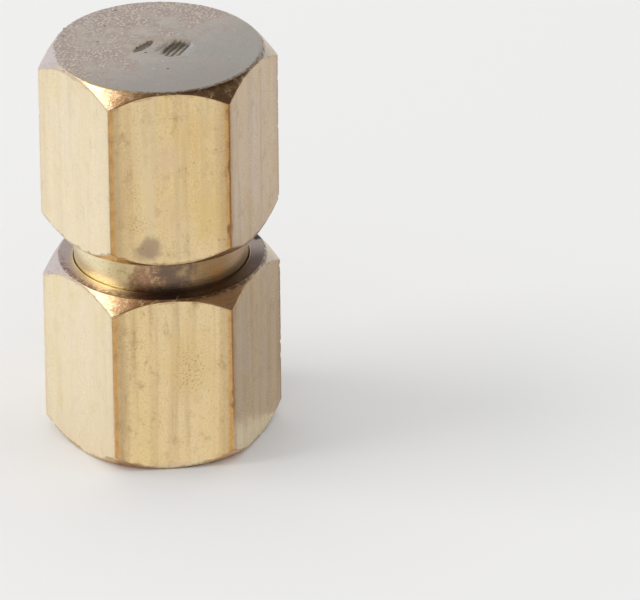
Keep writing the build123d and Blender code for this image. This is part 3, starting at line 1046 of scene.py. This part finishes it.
def softbox(name, direction, distance, size, radiance, colour):
    light = bpy.data.lights.new(name, "AREA")
    light.shape = "SQUARE"
    light.size = size
    light.energy = radiance * math.pi * size**2
    light.color = colour
    lamp = add_object(name, light)
    lamp.location = Vector(direction).normalized() * distance
    lamp.rotation_euler = Vector(direction).to_track_quat("Z", "Y").to_euler()


def studio_world():
    """Even white for what the floor receives, and a tinted room for what the metal reflects."""
    world = bpy.data.worlds.new("studio")
    world.use_nodes = True
    tree = world.node_tree
    direction = tree.nodes.new("ShaderNodeTexCoord").outputs["Generated"]
    colour = ROOM_COLOUR
    for towards, low, high, tint in ROOM_TINTS:
        cosine = vector_math(tree, "DOT_PRODUCT", direction, Vector(towards).normalized())
        colour = mixed(tree, smooth_range(tree, cosine, low, high), colour, tint)
    reflected = tree.nodes["Background"]
    feed(tree, colour, reflected.inputs["Color"])
    received = tree.nodes.new("ShaderNodeBackground")
    feed(tree, SKY_ON_FLOOR, received.inputs["Color"])
    light_path = tree.nodes.new("ShaderNodeLightPath")
    switch = tree.nodes.new("ShaderNodeMixShader")
    sources = (light_path.outputs["Is Glossy Ray"], received.outputs[0], reflected.outputs[0])
    for source, socket in zip(sources, switch.inputs):
        feed(tree, source, socket)
    feed(tree, switch.outputs[0], tree.nodes["World Output"].inputs["Surface"])
    bpy.context.scene.world = world


SKY_ON_FLOOR = (0.79, 0.79, 0.79)
ROOM_COLOUR = (0.20, 0.155, 0.125)
# Direction, the cosines between which the tint comes in, and the tint
ROOM_TINTS = [
    ((0, 0.88, 0.47), -0.1, 0.75, (0.44, 0.44, 0.485)),
    ((-0.475, 0.88, 0), 0.65, 0.97, (0.70, 0.76, 1.10)),
    ((0.5, 0.86, 0), 0.75, 0.97, (0.50, 0.53, 0.60)),
    ((-0.9, 0.1, 0.2), 0.5, 0.95, (0.60, 0.57, 0.60)),
]

FLOOR_SIZE = 3.0
FLOOR_LEVEL = -0.02 * MM
CARD_LEVEL = 0.2 * MM
FAR = 160  # how far the cards reach, in millimetres
# Name, corners on the floor in millimetres, and colour. They give the flats and the neck their tints.
FLOOR_CARDS = [
    ("warm_card", [(-30, -FAR), (42, -FAR), (6, -7.4), (-7, -7.4)], (0.735, 0.64, 0.48)),
    ("dark_card", [(42, -FAR), (FAR, -FAR), (FAR, -3), (8.6, -3)], (0.29, 0.22, 0.165)),
    ("near_grey_card", [(8.6, -3), (36, -3), (24, 26), (6, 10)], (0.375, 0.335, 0.325)),
    ("far_grey_card", [(36, -3), (FAR, -3), (FAR, FAR), (24, 26)], (0.52, 0.48, 0.50)),
    ("left_front_card", [(-62, -10), (-FAR, -10), (-FAR, -FAR), (-34, -FAR), (-30, -60)], (0.50, 0.44, 0.36)),
    ("left_near_card", [(-9, -10), (-30, -60), (-62, -10), (-26, -9)], (0.52, 0.45, 0.34)),
    ("left_card", [(-90, -6), (-84, 60), (-FAR, FAR), (-FAR, -6)], (0.42, 0.37, 0.31)),
    ("back_card", [(-40, 62), (20, 62), (60, FAR), (-120, FAR)], (0.46, 0.41, 0.35)),
]

floor_corners = [(x * FLOOR_SIZE, y * FLOOR_SIZE, FLOOR_LEVEL) for x, y in SQUARE]
make_sheet("floor", floor_corners, plain_material("floor_paper", (0.90, 0.90, 0.90)))
for name, corners, colour in FLOOR_CARDS:
    reflection_card(name, [(x * MM, y * MM, CARD_LEVEL) for x, y in corners], colour)
reflection_flag("brown_flag", (0.72, -0.15, 0.68), 0.5, 0.42, (0.10, 0.07, 0.05))
softbox("key_softbox", (-0.74, 0.02, 0.69), 0.9, 0.5, 2.9, (1.0, 0.98, 0.96))
studio_world()
bpy.context.scene.view_settings.view_transform = "Standard"

CAMERA_DISTANCE = 0.620165
CAMERA_HEIGHT = math.radians(28.378)
CAMERA_AZIMUTH = math.radians(-5.54)
CAMERA_YAW = -0.0173565
CAMERA_PITCH = 0.012892  # 0.0013 more than in the photograph, to have all of the closed end in the frame
CAMERA_ROLL = -0.0175684

camera_data = bpy.data.cameras.new("camera")
camera_data.sensor_width = 36
camera_data.lens = 512
camera = add_object("camera", camera_data)
back = Vector((0, -math.cos(CAMERA_HEIGHT), math.sin(CAMERA_HEIGHT)))
right = Vector((1, 0, 0))
aim = Matrix((right, back.cross(right), back)).transposed()
turned = aim @ Matrix.Rotation(CAMERA_YAW, 3, "Y") @ Matrix.Rotation(CAMERA_PITCH, 3, "X")
turned = turned @ Matrix.Rotation(CAMERA_ROLL, 3, "Z")
stand = Matrix.Translation(back * CAMERA_DISTANCE) @ turned.to_4x4()
camera.matrix_world = Matrix.Rotation(CAMERA_AZIMUTH, 4, "Z") @ stand
bpy.context.scene.camera = camera
